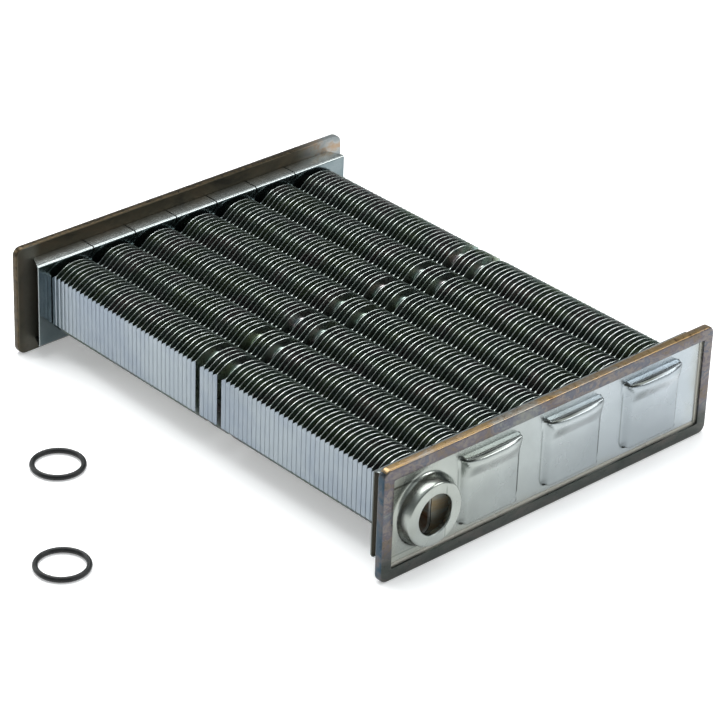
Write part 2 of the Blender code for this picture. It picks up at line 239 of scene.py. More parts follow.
class Look:
    """A material being wired: every call adds a node and gives its output.

    Sizes and places are given in millimetres, in noise, bump, less, above and span_mm.
    """

    def __init__(self, name, roughness, metallic=1.0):
        self.material = bpy.data.materials.new(name)
        self.material.use_nodes = True
        self.tree = self.material.node_tree
        self.shader = self.tree.nodes["Principled BSDF"]
        self.shader.inputs["Metallic"].default_value = metallic
        self.shader.inputs["Roughness"].default_value = roughness
        self.coords = self.tree.nodes.new("ShaderNodeTexCoord").outputs["Object"]
        split = self.tree.nodes.new("ShaderNodeSeparateXYZ")
        self.tree.links.new(self.coords, split.inputs[0])
        self.x, self.y, self.z = split.outputs[:3]
        facing = self.tree.nodes.new("ShaderNodeSeparateXYZ")
        normal = self.tree.nodes.new("ShaderNodeNewGeometry").outputs["True Normal"]
        self.tree.links.new(normal, facing.inputs[0])
        self.nx, self.ny, self.nz = facing.outputs[:3]

    def _set(self, socket, value):
        if isinstance(value, bpy.types.NodeSocket):
            self.tree.links.new(value, socket)
        elif hasattr(value, "__len__") and len(value) == 3 and socket.type == "RGBA":
            socket.default_value = (*value, 1.0)
        else:
            socket.default_value = value

    def math(self, kind, first, second=0.0, third=0.0):
        node = self.tree.nodes.new("ShaderNodeMath")
        node.operation = kind
        for socket, value in zip(node.inputs, (first, second, third)):
            self._set(socket, value)
        return node.outputs[0]

    def product(self, first, *others):
        for other in others:
            first = self.math("MULTIPLY", first, other)
        return first

    def size(self, value):
        """The value without its sign."""
        return self.math("ABSOLUTE", value)

    def less(self, value, amount_mm):
        """A measure less a fixed amount."""
        return self.math("SUBTRACT", value, amount_mm * MM)

    def above(self, value, level_mm):
        return self.math("GREATER_THAN", value, level_mm * MM)

    def outward(self, value):
        """An X or Y value as the front end has it, for both ends."""
        return self.math("MULTIPLY", value, self.math("SIGN", self.x))

    def faded(self, start, share, fall):
        """A value that falls from its start as a share grows."""
        return self.math("SUBTRACT", start, self.product(share, fall))

    def span(self, value, low, high, to_low=0.0, to_high=1.0):
        """Smooth step of a value between two limits."""
        node = self.tree.nodes.new("ShaderNodeMapRange")
        node.interpolation_type = "SMOOTHSTEP"
        for name, given in zip(("Value", "From Min", "From Max", "To Min", "To Max"),
                               (value, low, high, to_low, to_high)):
            self._set(node.inputs[name], given)
        return node.outputs["Result"]

    def span_mm(self, value, low, high, to_low=0.0, to_high=1.0):
        """Smooth step of a measure."""
        return self.span(value, low * MM, high * MM, to_low, to_high)

    def stretched(self, scale):
        node = self.tree.nodes.new("ShaderNodeMapping")
        self.tree.links.new(self.coords, node.inputs["Vector"])
        node.inputs["Scale"].default_value = scale
        return node.outputs["Vector"]

    def noise(self, size_mm, detail=3.0, rough=0.55, stretch=(1, 1, 1), distort=0.0):
        """Noise whose blobs are about size_mm across, from 0 to 1."""
        node = self.tree.nodes.new("ShaderNodeTexNoise")
        self.tree.links.new(self.stretched(stretch), node.inputs["Vector"])
        node.inputs["Scale"].default_value = 1.0 / (size_mm * MM)
        node.inputs["Detail"].default_value = detail
        node.inputs["Roughness"].default_value = rough
        node.inputs["Distortion"].default_value = distort
        return node.outputs["Fac"]

    def mix(self, factor, first, second):
        node = self.tree.nodes.new("ShaderNodeMix")
        node.data_type = "RGBA"
        colours = [s for s in node.inputs if s.type == "RGBA"]
        self._set(node.inputs["Factor"], factor)
        self._set(colours[0], first)
        self._set(colours[1], second)
        return [s for s in node.outputs if s.type == "RGBA"][0]

    def ramp(self, factor, stops):
        node = self.tree.nodes.new("ShaderNodeValToRGB")
        self._set(node.inputs[0], factor)
        marks = node.color_ramp.elements
        while len(marks) < len(stops):
            marks.new(1.0)
        for mark, (place, colour) in zip(marks, stops):
            mark.position = place
            mark.color = (*colour, 1.0)
        return node.outputs["Color"]

    def bump(self, height, distance_mm, strength=1.0, under=None):
        node = self.tree.nodes.new("ShaderNodeBump")
        node.inputs["Distance"].default_value = distance_mm * MM
        node.inputs["Strength"].default_value = strength
        self._set(node.inputs["Height"], height)
        if under is not None:
            self.tree.links.new(under, node.inputs["Normal"])
        return node.outputs["Normal"]

    def finish(self, colour, roughness=None, normal=None, metallic=None):
        given = {"Base Color": colour, "Roughness": roughness, "Normal": normal, "Metallic": metallic}
        for name, value in given.items():
            if value is not None:
                self._set(self.shader.inputs[name], value)
        return self.material


def pad_foot_shade_line(look, along):
    """Thin painted shade line round the foot of each pad: 1 on the line and 0 off it."""
    middle_z = (PAD_LOW_Z + PAD_HIGH_Z) / 2
    half_height = (PAD_HIGH_Z - PAD_LOW_Z) / 2
    side = look.less(look.size(along), PAD_HALF_WIDTH - PAD_CORNER_R)
    height = look.less(look.size(look.less(look.z, middle_z)), half_height - PAD_CORNER_R)
    past_side = look.math("MAXIMUM", side, 0.0)
    past_height = look.math("MAXIMUM", height, 0.0)
    squares = look.math("ADD", look.product(past_side, past_side), look.product(past_height, past_height))
    inner = look.math("MINIMUM", look.math("MAXIMUM", side, height), 0.0)
    reach = look.math("ADD", look.math("SQRT", squares), inner)
    off_line = look.size(look.less(reach, PAD_CORNER_R))
    return look.product(look.span_mm(off_line, 0.7, 0.1), look.span_mm(look.z, 48.0, 44.0))


def cover_look():
    """Satin pressed sheet, cool grey, with painted shade in its creases, under its noses and low on its
    pads, and warm near its border.
    """
    look = Look("cover_steel", 0.3)
    turned_y = look.outward(look.y)
    side_y = look.size(look.y)
    off_middle = look.size(look.less(look.z, TUBE_Z))
    along = look.math("WRAP", look.less(turned_y, POCKET_YS[1]), TUBE_PITCH * MM, -TUBE_PITCH * MM)
    from_pocket = look.size(along)

    cloud = look.span(look.noise(34, detail=4), 0.35, 0.68)
    dull = look.mix(cloud, (0.31, 0.33, 0.30), (0.37, 0.395, 0.365))
    clean = look.mix(cloud, (0.335, 0.372, 0.397), (0.385, 0.423, 0.452))
    colour = look.mix(look.span_mm(turned_y, -115, 90), dull, clean)
    marks = look.noise(2.2, detail=5, stretch=(1, 1, 0.12))
    colour = look.mix(look.span(marks, 0.5, 0.85, 0.0, 0.08), colour, (0.30, 0.33, 0.35))

    # Painted shade: each pad darker towards its lower part
    pad_painted_shade = look.product(
        look.span_mm(from_pocket, PAD_HALF_WIDTH + 0.2, PAD_HALF_WIDTH - 1.8),
        look.span_mm(look.z, PAD_LOW_Z - 0.8, PAD_LOW_Z + 2.2),
        look.span_mm(look.z, NOSE_PEAK_Z - 0.5, 30.0, 0.0, 0.32))
    colour = look.mix(pad_painted_shade, colour, (0.13, 0.15, 0.16))

    # Painted shade on the downward slopes at the left end of each nose and on the pads' right-hand slopes
    shade_under_nose = look.product(
        look.span(look.nz, -0.10, -0.5),
        look.span_mm(along, -4.0, -17.0),
        look.span_mm(look.z, 18.0, 30.0, 0.45, 1.0))
    shade_on_right_slope = look.product(
        look.span(look.outward(look.ny), 0.06, 0.45),
        look.span_mm(from_pocket, 26.0, 23.0))
    colour = look.mix(look.math("MAXIMUM", shade_under_nose, shade_on_right_slope), colour, (0.075, 0.09, 0.085))

    # Painted shade in the hollow of the ledge under each nose, darkest at its left end
    ledge = look.product(
        look.span_mm(look.z, NOSE_CREASE_Z, NOSE_CREASE_Z + 0.4),
        look.span_mm(look.z, LEDGE_Z, LEDGE_Z - 0.4),
        look.span_mm(along, 19.0, -8.0, 0.35, 1.0),
        look.span_mm(from_pocket, PAD_HALF_WIDTH + 0.2, PAD_HALF_WIDTH - 0.8))
    colour = look.mix(ledge, colour, (0.05, 0.055, 0.05))
    # Painted shade along the foot of each pad
    colour = look.mix(look.product(pad_foot_shade_line(look, along), 0.5), colour, (0.09, 0.105, 0.10))

    border = look.math("MAXIMUM", look.span_mm(side_y, 98.0, 112.0), look.span_mm(look.z, 14.0, 5.0))
    warm = look.product(border, look.span(look.noise(14), 0.35, 0.7, 0.1, 0.5))
    colour = look.mix(warm, colour, (0.30, 0.29, 0.22))
    seat = look.math("MAXIMUM", look.span_mm(side_y, 108.5, 110.0), look.span_mm(off_middle, 23.3, 24.6))
    colour = look.mix(seat, colour, (0.40, 0.39, 0.34))

    rough = look.span(look.noise(30, detail=4), 0.3, 0.75, 0.24, 0.31)
    wave = look.bump(look.noise(40, detail=0), 0.3, 0.15)
    grain = look.bump(look.noise(0.45, detail=2), 0.004, 0.2, wave)
    return look.finish(colour, rough, grain, look.faded(1.0, seat, 0.6))


def rim_look():
    """Heat-tinted sheet: straw, orange, purple and blue oxide over grey steel, with a painted dark
    reflection low on the hem and painted light along the sides of the rear plate's fin side.
    """
    look = Look("tinted_steel", 0.33)
    side_y = look.size(look.y)
    drift = look.noise(11, detail=5, rough=0.6, stretch=(1, 0.45, 1), distort=0.6)
    fine = look.noise(2.6, detail=6, rough=0.65)
    tone = look.math("ADD", look.product(drift, 0.75), look.product(fine, 0.25))

    hem = look.ramp(tone, (
        (0.34, (0.070, 0.066, 0.060)), (0.42, (0.13, 0.105, 0.085)), (0.475, (0.095, 0.088, 0.105)),
        (0.52, (0.165, 0.145, 0.13)), (0.57, (0.085, 0.09, 0.115)), (0.66, (0.17, 0.175, 0.16))))
    low_hem_dark_reflection = look.ramp(tone, (
        (0.32, (0.034, 0.041, 0.037)), (0.5, (0.055, 0.061, 0.056)), (0.68, (0.085, 0.078, 0.072))))
    gold = look.ramp(tone, (
        (0.34, (0.15, 0.09, 0.05)), (0.44, (0.30, 0.20, 0.085)), (0.52, (0.25, 0.18, 0.11)),
        (0.60, (0.24, 0.21, 0.17)), (0.70, (0.22, 0.23, 0.22))))
    blue = look.ramp(tone, (
        (0.35, (0.020, 0.038, 0.058)), (0.46, (0.036, 0.058, 0.078)), (0.55, (0.078, 0.078, 0.084)),
        (0.66, (0.075, 0.058, 0.052))))
    olive = look.ramp(tone, (
        (0.33, (0.030, 0.027, 0.020)), (0.48, (0.058, 0.050, 0.034)), (0.60, (0.075, 0.058, 0.038)),
        (0.72, (0.05, 0.052, 0.042))))
    clean = look.ramp(tone, (
        (0.38, (0.20, 0.24, 0.26)), (0.5, (0.34, 0.35, 0.34)), (0.60, (0.36, 0.27, 0.19))))
    brown = look.mix(look.span(fine, 0.35, 0.65), (0.032, 0.026, 0.016), (0.07, 0.05, 0.026))
    pale = look.mix(look.span(drift, 0.4, 0.6), (0.52, 0.56, 0.52), (0.48, 0.37, 0.22))

    at_front = look.math("GREATER_THAN", look.x, 0.0)
    corner = look.product(look.span_mm(look.y, 80.0, 112.0), look.span_mm(look.z, 38.0, 58.0))
    # The hem darker towards its foot: a painted dark reflection
    colour = look.mix(look.span_mm(look.z, 8.0, 24.0), low_hem_dark_reflection, hem)
    rear_edge = look.mix(corner, brown, clean)
    top = look.product(look.span(look.nz, 0.45, 0.75), look.above(look.z, 60.0))
    colour = look.mix(top, colour, look.mix(at_front, rear_edge, gold))
    side = look.product(look.span(look.size(look.ny), 0.5, 0.8), look.above(side_y, 113.5))
    colour = look.mix(side, colour, look.mix(at_front, rear_edge, blue))

    # Face on the fin side, seen on the rear plate; painted light makes it lighter towards its sides, where
    # it lies in shade between the plate and the tray
    flank_painted_light = look.product(look.span_mm(side_y, 101.0, 108.0), look.span_mm(side_y, 117.5, 110.0, 0.25, 0.9))
    fin_side = look.math("LESS_THAN", look.outward(look.nx), -0.6)
    olive_or_painted_light = look.mix(flank_painted_light, olive, (0.125, 0.122, 0.102))
    colour = look.mix(fin_side, colour, look.mix(corner, olive_or_painted_light, clean))

    # Face under the cover, seen through the port
    under_cover = look.math("LESS_THAN", look.size(look.x), (PLATE_FRONT_X + 0.1) * MM)
    water_side = look.math("SUBTRACT", 1.0, fin_side)
    wet = look.product(under_cover, water_side, look.span(look.size(look.nx), 0.6, 0.9))
    colour = look.mix(wet, colour, pale)

    rough = look.math("ADD", look.span(fine, 0.3, 0.75, 0.26, 0.42), look.product(fin_side, 0.2))
    normal = look.bump(look.noise(5, detail=4), 0.2, 0.25)
    return look.finish(colour, rough, normal, look.faded(0.9, wet, 0.8))


def tray_look():
    """Bright folded sheet with fine rolling lines across the fold, and painted shade on its upright faces.
    """
    look = Look("tray_steel", 0.2)
    lines = look.noise(2.4, detail=4, stretch=(0.06, 1, 1))
    cloud = look.noise(20, detail=3)
    grey = look.mix(look.span(lines, 0.38, 0.68), (0.38, 0.41, 0.405), (0.42, 0.45, 0.44))
    colour = look.mix(look.span(cloud, 0.4, 0.7, 0, 0.5), grey, (0.36, 0.38, 0.37))
    # Upright faces painted darker: painted shade between the fins
    upright = look.span(look.size(look.nx), 0.75, 0.97)
    painted_shade_grey = look.mix(look.span(cloud, 0.35, 0.65), (0.12, 0.155, 0.165), (0.17, 0.205, 0.215))
    colour = look.mix(upright, colour, painted_shade_grey)

    at_end = look.above(look.size(look.y), TRAY_HALF_WIDTH - 0.5)
    cut = look.product(look.span(look.size(look.ny), 0.7, 0.9), at_end)
    at_front = look.math("GREATER_THAN", look.x, 0.0)
    colour = look.mix(cut, colour, look.mix(at_front, (0.25, 0.28, 0.28), (0.09, 0.10, 0.095)))
    hidden = look.math("GREATER_THAN", look.outward(look.nx), 0.6)
    colour = look.mix(hidden, colour, (0.22, 0.20, 0.16))

    rough = look.math("ADD", look.span(lines, 0.3, 0.7, 0.25, 0.27), look.product(upright, -0.08))
    normal = look.bump(look.noise(24, detail=0), 0.3, 0.15)
    return look.finish(colour, rough, normal, look.faded(1.0, hidden, 0.8))


def tube_look():
    """Tube steel browned by brazing."""
    look = Look("tube_steel", 0.34)
    stain = look.noise(12, detail=5, stretch=(0.4, 1, 1))
    inner = look.ramp(stain, (
        (0.34, (0.34, 0.19, 0.09)), (0.5, (0.44, 0.40, 0.34)), (0.66, (0.50, 0.52, 0.48))))
    outer = look.ramp(stain, (
        (0.34, (0.13, 0.105, 0.07)), (0.5, (0.20, 0.19, 0.15)), (0.66, (0.25, 0.25, 0.22))))
    from_tube = look.math("WRAP", look.y, TUBE_PITCH / 2 * MM, -TUBE_PITCH / 2 * MM)
    out_y = look.product(look.ny, from_tube)
    out_z = look.product(look.nz, look.less(look.z, TUBE_Z))
    wet = look.math("LESS_THAN", look.math("ADD", out_y, out_z), 0.0)
    end = look.above(look.size(look.x), TUBE_END_X - 1.2)
    colour = look.mix(end, look.mix(wet, outer, inner), (0.62, 0.62, 0.58))
    drawn = look.noise(0.8, detail=4, stretch=(0.04, 1, 1))
    rough = look.span(drawn, 0.3, 0.7, 0.26, 0.42)
    return look.finish(colour, rough, look.bump(drawn, 0.03, 0.3), look.faded(1.0, wet, 0.6))


def fin_look():
    """Fin faces dulled by brazing."""
    look = Look("fin_steel", 0.34)
    patch = look.noise(26, detail=4, rough=0.6)
    colour = look.ramp(patch, (
        (0.30, (0.20, 0.275, 0.27)), (0.42, (0.28, 0.33, 0.245)), (0.52, (0.25, 0.31, 0.29)),
        (0.62, (0.33, 0.29, 0.295)), (0.72, (0.24, 0.31, 0.32))))
    fine = look.noise(1.5, detail=5)
    colour = look.mix(look.span(fine, 0.4, 0.75, 0.0, 0.4), colour, (0.36, 0.42, 0.40))
    return look.finish(colour, look.span(fine, 0.3, 0.7, 0.26, 0.42), look.bump(fine, 0.05, 0.3))


def edge_look():
    """Sheared fin edges, with painted highlights on the crests and in the valleys."""
    look = Look("fin_edge", 0.24)
    patch = look.noise(18, detail=4)
    colour = look.ramp(patch, (
        (0.34, (0.20, 0.235, 0.205)), (0.5, (0.30, 0.345, 0.33)), (0.66, (0.27, 0.28, 0.27))))
    painted_highlight = look.mix(look.span(patch, 0.35, 0.62), (0.33, 0.37, 0.35), (0.47, 0.51, 0.495))
    # Painted highlights on the crests and in the valleys
    valley = look.product(look.span_mm(look.z, 49.4, 48.7), look.span_mm(look.z, 45.0, 47.0))
    crest = look.span_mm(look.z, 51.8, 54.6)
    colour = look.mix(look.math("MAXIMUM", crest, valley), colour, painted_highlight)
    # Painted shade on the edges' flanks that face +Y
    shade_on_right_flank = look.span(look.ny, 0.12, 0.5, 0.0, 0.62)
    colour = look.mix(shade_on_right_flank, colour, (0.10, 0.12, 0.11))
    fine = look.noise(0.9, detail=4)
    return look.finish(colour, look.span(fine, 0.3, 0.7, 0.20, 0.36), look.bump(fine, 0.04, 0.25))


def tab_look():
    """Outer faces of the side tabs: satin, bluish."""
    look = Look("fin_tab", 0.3)
    cloud = look.noise(30, detail=4)
    colour = look.mix(look.span(cloud, 0.35, 0.68), (0.265, 0.30, 0.325), (0.215, 0.25, 0.29))
    fine = look.noise(0.6, detail=4, stretch=(1, 1, 0.1))
    return look.finish(colour, look.span(fine, 0.3, 0.7, 0.30, 0.40), look.bump(fine, 0.03, 0.25))


def rubber_look():
    """Moulded black rubber with a slight bloom."""
    look = Look("seal_rubber", 0.4, metallic=0.0)
    bloom = look.noise(3, detail=5)
    colour = look.mix(look.span(bloom, 0.4, 0.75), (0.007, 0.0075, 0.0075), (0.016, 0.017, 0.017))
    look.shader.inputs["Specular IOR Level"].default_value = 0.28
    fine = look.noise(0.35, detail=4)
    return look.finish(colour, look.span(bloom, 0.3, 0.7, 0.32, 0.5), look.bump(fine, 0.03, 0.3))


def floor_look():
    """Pale studio floor that glows a little, so that the shadows stay light."""
    look = Look("floor_paint", 0.65, metallic=0.0)
    look.shader.inputs["Emission Color"].default_value = (1.0, 1.0, 1.0, 1.0)
    look.shader.inputs["Emission Strength"].default_value = 0.3
    return look.finish(look.mix(look.noise(90, detail=2), (0.90, 0.90, 0.90), (0.93, 0.93, 0.93)))


# ---------------------------------------------------------------- headers

def header_outline(inset):
    radius = max(CORNER_R - inset, LEAST_CORNER_R)
    return rounded_rect(HEADER_HALF_WIDTH - inset, inset, HEADER_HEIGHT - inset, radius)


BASE_BEND_R = 0.9
RIM_BEND_R = 1.2
HOLE_STEPS = 10
HOLE_PLAY = 0.05                            # between a tube and the fins


def plate_profile():
    """Inset from the outer edge and X, from the fin side round the rim to the water side."""
    base = arc((BASE_BEND_R, PLATE_X + BASE_BEND_R), BASE_BEND_R, 270, 180, 4)
    middle = [(0.0, (PLATE_X + HEADER_X) / 2)]
    fold = arc((RIM_BEND_R, HEADER_X - RIM_BEND_R), RIM_BEND_R, 180, 90, 5)
    face = [(2.6, HEADER_X), (4.4, HEADER_X)]
    lip = [(HEM_WIDTH - 0.35, HEADER_X), (HEM_WIDTH - 0.1, HEADER_X - 0.1), (HEM_WIDTH, HEADER_X - 0.35)]
    inside = [(HEM_WIDTH, HEM_BACK_X), (SHEET + HEM_PLAY, HEM_BACK_X), (SHEET + HEM_PLAY, PLATE_FRONT_X)]
    return base + middle + fold + face + lip + inside


def tube_loops(made, x, grow, steps=HOLE_STEPS):
    """One loop round each tube, larger than the tube all round by grow."""
    half_width = TUBE_WIDTH / 2 + grow
    half_height = TUBE_HEIGHT / 2 + grow
    return [made.loop(at_x(oval(y, half_width, half_height, steps), x)) for y in TUBE_YS]


def tube_plate():
    made = Solid()
    loops = [made.loop(at_x(header_outline(inset), x)) for inset, x in plate_profile()]
    for first, second in zip(loops, loops[1:]):
        made.bridge(first, second)
    rims = [tube_loops(made, x, GAP) for x in (PLATE_X, PLATE_FRONT_X)]
    for near, far in zip(*rims):
        made.bridge(near, far)
    made.fill(loops[0], rims[0])
    made.fill(loops[-1], rims[1])
    return made


def step(value):
    """Smooth step from 0 to 1."""
    t = np.clip(value, 0.0, 1.0)
    return t * t * (3 - 2 * t)


def slope(value):
    """Rise from 0 to 1, mostly straight, with softened ends."""
    t = np.clip(value, 0.0, 1.0)
    return STRAIGHT_SHARE * t + (1 - STRAIGHT_SHARE) * step(t)


def pocket_height(y, z):
    """Rise of the cover over its panel round a pocket; y from the pocket's middle."""
    radius = np.where(z < (PAD_LOW_Z + PAD_HIGH_Z) / 2, PAD_CORNER_R, PAD_TOP_CORNER_R)
    from_side = PAD_HALF_WIDTH - np.abs(y)
    from_top = PAD_HIGH_Z - z
    from_bottom = z - PAD_LOW_Z
    qy = radius - from_side
    qz = radius - np.minimum(from_top, from_bottom)
    inside = radius - np.hypot(np.maximum(qy, 0), np.maximum(qz, 0)) - np.minimum(np.maximum(qy, qz), 0)
    near_top = step((from_side - from_top) / RAMP_BLEND + 0.5)
    near_bottom = step((from_side - from_bottom) / RAMP_BLEND + 0.5)
    ramp = SIDE_RAMP + (TOP_RAMP - SIDE_RAMP) * near_top + (BOTTOM_RAMP - SIDE_RAMP) * near_bottom
    pad = PAD_RISE * slope(inside / np.maximum(ramp, TOP_RAMP))
    bow = (1 - np.clip((np.abs(y) - NOSE_FLAT_Y) / NOSE_FADE_Y, 0, 1) ** 2) ** NOSE_FULLNESS
    swell = NOSE_RISE * slope((z - NOSE_LOW_Z) / (NOSE_PEAK_Z - NOSE_LOW_Z))
    brow = NOSE_RISE - NOSE_DROP * ((z - NOSE_PEAK_Z) / (NOSE_CREASE_Z - NOSE_PEAK_Z)) ** 2
    ledge = LEDGE_RISE - LEDGE_FALL * (z - NOSE_CREASE_Z) / (LEDGE_Z - NOSE_CREASE_Z)
    nose = np.where(z < NOSE_PEAK_Z, swell, np.where(z < NOSE_CREASE_Z, brow, np.maximum(ledge, 0)))
    return pad + nose * bow * np.clip(from_top / TOP_EDGE, 0, 1)


def pocket_heights():
    """Grid rows over a pocket, closer together where it bends."""
    swell = np.linspace(POCKET_LOW_Z, 46.8, 68)
    brow = np.linspace(NOSE_PEAK_Z, NOSE_CREASE_Z, 7)
    ledge = np.linspace(50.8, LEDGE_Z, 4)
    edge = np.linspace(52.06, PAD_HIGH_Z, 6)
    return np.concatenate((swell, brow, ledge, edge, (52.7, 53.4, POCKET_HIGH_Z)))


def pocket_patch(made, centre_y, base_x, depth):
    """Fine grid over one pocket; gives its edge loop."""
    ys = np.linspace(-POCKET_REACH_Y, POCKET_REACH_Y, 85)
    zs = pocket_heights()
    columns = len(ys) - 1
    rows = len(zs) - 1
    grid_y, grid_z = np.meshgrid(ys, zs)
    rise = pocket_height(grid_y, grid_z)
    first = len(made.verts)
    for r in range(rows + 1):
        for c in range(columns + 1):
            made.verts.append((base_x + rise[r, c] * depth, centre_y + ys[c], zs[r]))

    def number(r, c):
        return first + r * (columns + 1) + c

    for r in range(rows):
        for c in range(columns):
            made.faces.append((number(r, c), number(r, c + 1), number(r + 1, c + 1), number(r + 1, c)))
    bottom = [number(0, c) for c in range(columns + 1)]
    right = [number(r, columns) for r in range(1, rows)]
    top = [number(rows, c) for c in range(columns, -1, -1)]
    left = [number(r, 0) for r in range(rows - 1, 0, -1)]
    return bottom + right + top + left


def port_profile():
    """Radius and rise over the panel, from the panel to the face, down the lip and back inside."""
    fillet = [(22.2, 0.0), (21.2, 0.08), (20.3, 0.35), (19.7, 0.8), (19.3, 1.4), (19.05, 2.2), (18.9, 3.0)]
    wall = [(18.65, 4.4), (18.3, 5.8), (18.0, 7.0), (17.75, 7.9), (17.4, 8.4), (17.0, 8.66), (16.5, 8.78)]
    face = [(15.6, 8.8), (14.0, 8.8), (12.4, 8.8), (11.9, 8.78)]
    lip = [(11.55, 8.68), (11.3, 8.45), (11.12, 8.0), (11.05, 7.3), (11.05, 5.6)]
    back = [(12.0, 5.6), (12.0, 7.6), (15.9, 7.7), (16.9, 6.4), (17.9, 2.6), (18.9, 0.2), (20.6, -SHEET)]
    return fillet + wall + face + lip + back


# Inset from the header's outline and X, from the panel over the clamped border and back
COVER_PROFILE = (
    (8.0, PANEL_X), (7.6, PANEL_X + 0.08), (6.4, BORDER_X - 0.08), (6.0, BORDER_X), (BORDER_EDGE, BORDER_X),
    (BORDER_EDGE, BORDER_X - SHEET), (5.6, BORDER_X - SHEET), (6.8, PANEL_X - SHEET),
)
PORT_SEGMENTS = 96


def cover():
    made = Solid()
    loops = [made.loop(at_x(header_outline(inset), x)) for inset, x in COVER_PROFILE]
    for first, second in zip(loops, loops[1:]):
        made.bridge(first, second)
    circles = []
    last = PORT_SEGMENTS - 1
    for radius, rise in port_profile():
        circle = arc((PORT_Y, TUBE_Z), radius, 0, 360 * last / PORT_SEGMENTS, last)
        circles.append(made.loop(at_x(circle, PANEL_X + rise)))
    for first, second in zip(circles, circles[1:]):
        made.bridge(first, second)
    outside = [pocket_patch(made, y, PANEL_X, 1.0) for y in POCKET_YS]
    inside = [pocket_patch(made, y, PANEL_X - SHEET, INNER_DEPTH) for y in POCKET_YS]
    made.fill(loops[0], [circles[0], *outside])
    made.fill(loops[-1], [circles[-1], *inside])
    return made


BEND_STEPS = 5


def tray_edges():
    """Y of the sides of the seven flanges, in order."""
    edges = [-TRAY_HALF_WIDTH]
    for low_y, high_y in zip(TUBE_YS, TUBE_YS[1:]):
        middle = (low_y + high_y) / 2
        edges += [middle - SLIT_WIDTH / 2, middle + SLIT_WIDTH / 2]
    return edges + [TRAY_HALF_WIDTH]


def tray_face(made, edges, x):
    """Loop round the upright face, notched at the slits: the lower edge first, then the upper."""
    bend_z = TRAY_HIGH_Z - TRAY_BEND
    slit_z = TRAY_HIGH_Z - SLIT_DEPTH
    top = []
    for i in range(0, len(edges), 2):
        top += [(edges[i], bend_z), (edges[i + 1], bend_z)]
        if i + 2 < len(edges):
            top += [(edges[i + 1], slit_z), (edges[i + 2], slit_z)]
    bottom = [(y, TRAY_LOW_Z + TRAY_HIGH_Z - z) for y, z in top]
    return made.loop(at_x(bottom + top[::-1], x))


def flange_line(made, first, radius, up):
    """One line over a flange, from the face's edge round the bend to the free end."""
    y = made.verts[first][1]
    turn_z = TRAY_HIGH_Z - TRAY_BEND if up > 0 else TRAY_LOW_Z + TRAY_BEND
    line = [first]
    for part in range(1, BEND_STEPS + 1):
        angle = math.pi / 2 * part / BEND_STEPS
        x = TRAY_X + TRAY_BEND - radius * math.cos(angle)
        line += made.loop([(x, y, turn_z + up * radius * math.sin(angle))])
    if abs(y) >= TRAY_HALF_WIDTH:
        y = math.copysign(abs(y) - FLANGE_MITRE, y)
    return line + made.loop([(PLATE_X - GAP, y, turn_z + up * radius)])


def end_tray():
    """Folded channel: a face with tube holes, and flanges cut into seven by slits across the bends."""
    made = Solid()
    edges = tray_edges()
    inner_x = TRAY_X + TRAY_SHEET
    outer = tray_face(made, edges, TRAY_X)
    inner = tray_face(made, edges, inner_x)
    holes = [tube_loops(made, x, GAP) for x in (TRAY_X, inner_x)]
    for near, far in zip(*holes):
        made.bridge(near, far)
    made.fill(outer, holes[0])
    made.fill(inner, holes[1])

    # Flanges, each folded from one side of its own stretch of the face's loop
    count = len(outer)
    folded = set()
    for up in (-1, 1):
        for i in range(0, len(edges), 2):
            pair = (2 * i, 2 * i + 1) if up < 0 else (count - 1 - 2 * i, count - 2 - 2 * i)
            folded.add(frozenset(pair))
            outside = [flange_line(made, outer[number], TRAY_BEND, up) for number in pair]
            inside = [flange_line(made, inner[number], TRAY_BEND - TRAY_SHEET, up) for number in pair]
            made.strip(*outside)
            made.strip(*inside)
            for outer_line, inner_line in zip(outside, inside):
                made.strip(outer_line, inner_line)
            made.faces.append((outside[0][-1], outside[1][-1], inside[1][-1], inside[0][-1]))
    for i in range(count):
        j = (i + 1) % count
        if frozenset((i, j)) not in folded:
            made.faces.append((outer[i], outer[j], inner[j], inner[i]))
    return made


# ---------------------------------------------------------------- tubes, fins and rings

TUBE_BEVEL = 0.2
TUBE_STEPS = 14


def tube(centre_y):
    made = Solid()
    section = ((TUBE_END_X - TUBE_BEVEL, 0.0), (TUBE_END_X, TUBE_BEVEL),
               (TUBE_END_X, TUBE_WALL - TUBE_BEVEL), (TUBE_END_X - TUBE_BEVEL, TUBE_WALL))
    loops = []
    for x, inset in [(-x, inset) for x, inset in section] + [*reversed(section)]:
        outline = oval(centre_y, TUBE_WIDTH / 2 - inset, TUBE_HEIGHT / 2 - inset, TUBE_STEPS)
        loops.append(made.loop(at_x(outline, x)))
    for i, loop in enumerate(loops):
        made.bridge(loop, loops[(i + 1) % len(loops)])
    return made


# One side of a lobe, from its middle to the valley: distance from the tube's middle, and height
TOP_LOBE = ((0, 55.0), (2.2, 54.9), (4.4, 54.55), (6.4, 53.95), (8.2, 53.05), (10.0, 51.85), (11.6, 50.6),
            (12.8, 49.55), (13.6, 48.9), (14.2, 48.52), (TUBE_PITCH / 2, 48.4))
LOW_LOBE = ((0, 10.5), (5.4, 10.5), (6.6, 10.75), (8.0, 11.7), (10.4, 13.7), (12.6, 15.6), (13.8, 16.5),
            (TUBE_PITCH / 2, 16.8))
TAB_BEND = 0.7
TAB_CLEARANCE = 0.3
TAB_TUCK = 0.2                              # how far a tab's free edge leans in
TAB_STEPS = 4
FIN_CHAMFER = 0.1
FIN_HOLE_STEPS = 8
# Collar round a tube, from its root to its lip: X from the fin's front, and distance off the tube
COLLAR = ((0.0, 0.85), (0.35, 0.45), (1.3, 0.4), (1.3, HOLE_PLAY))
# Tongue in a valley, from root to tip: X from the fin's back, height and half width
TONGUE = ((0.1, 48.36, 1.0), (-0.45, 48.34, 0.95), (-0.85, 48.2, 0.7))
TONGUE_DISH = 0.12
TONGUE_SHEET = 0.37
FACE_LOOK, EDGE_LOOK, TAB_LOOK = range(3)


